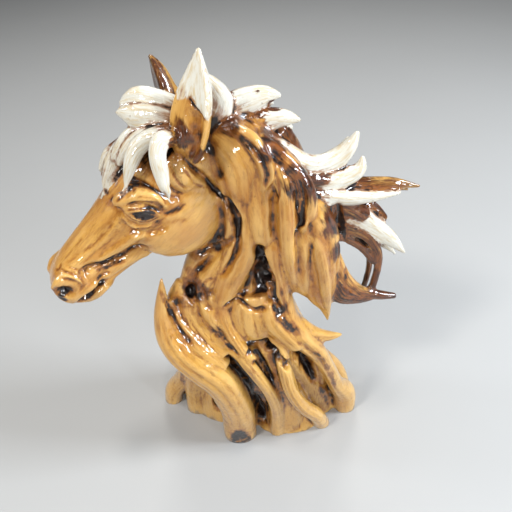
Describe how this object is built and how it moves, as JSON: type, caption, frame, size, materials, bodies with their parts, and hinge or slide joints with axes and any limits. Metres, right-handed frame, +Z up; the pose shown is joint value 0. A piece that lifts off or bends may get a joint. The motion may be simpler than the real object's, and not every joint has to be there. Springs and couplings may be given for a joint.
{
  "type": "horse head statuette",
  "caption": "Horse head with a blown mane rising from a driftwood-root stump, cast as one piece that stands on its flat underside.",
  "frame": {"origin": "on the flat underside, below the middle of the neck, where the statuette stands", "axes": "+Z up, the horse faces -X and a little towards -Y, its mane blows towards +X, and +Y is the thin way through the head"},
  "size_m": [0.2138, 0.0892, 0.3088],
  "materials": {
    "painted_resin": "cast resin painted as honey-coloured driftwood with cream locks and dark brown stain in the hollows, under clear gloss lacquer"
  },
  "bodies": {
    "root": {"horse_head_statuette": "painted_resin"}
  },
  "joints": []
}
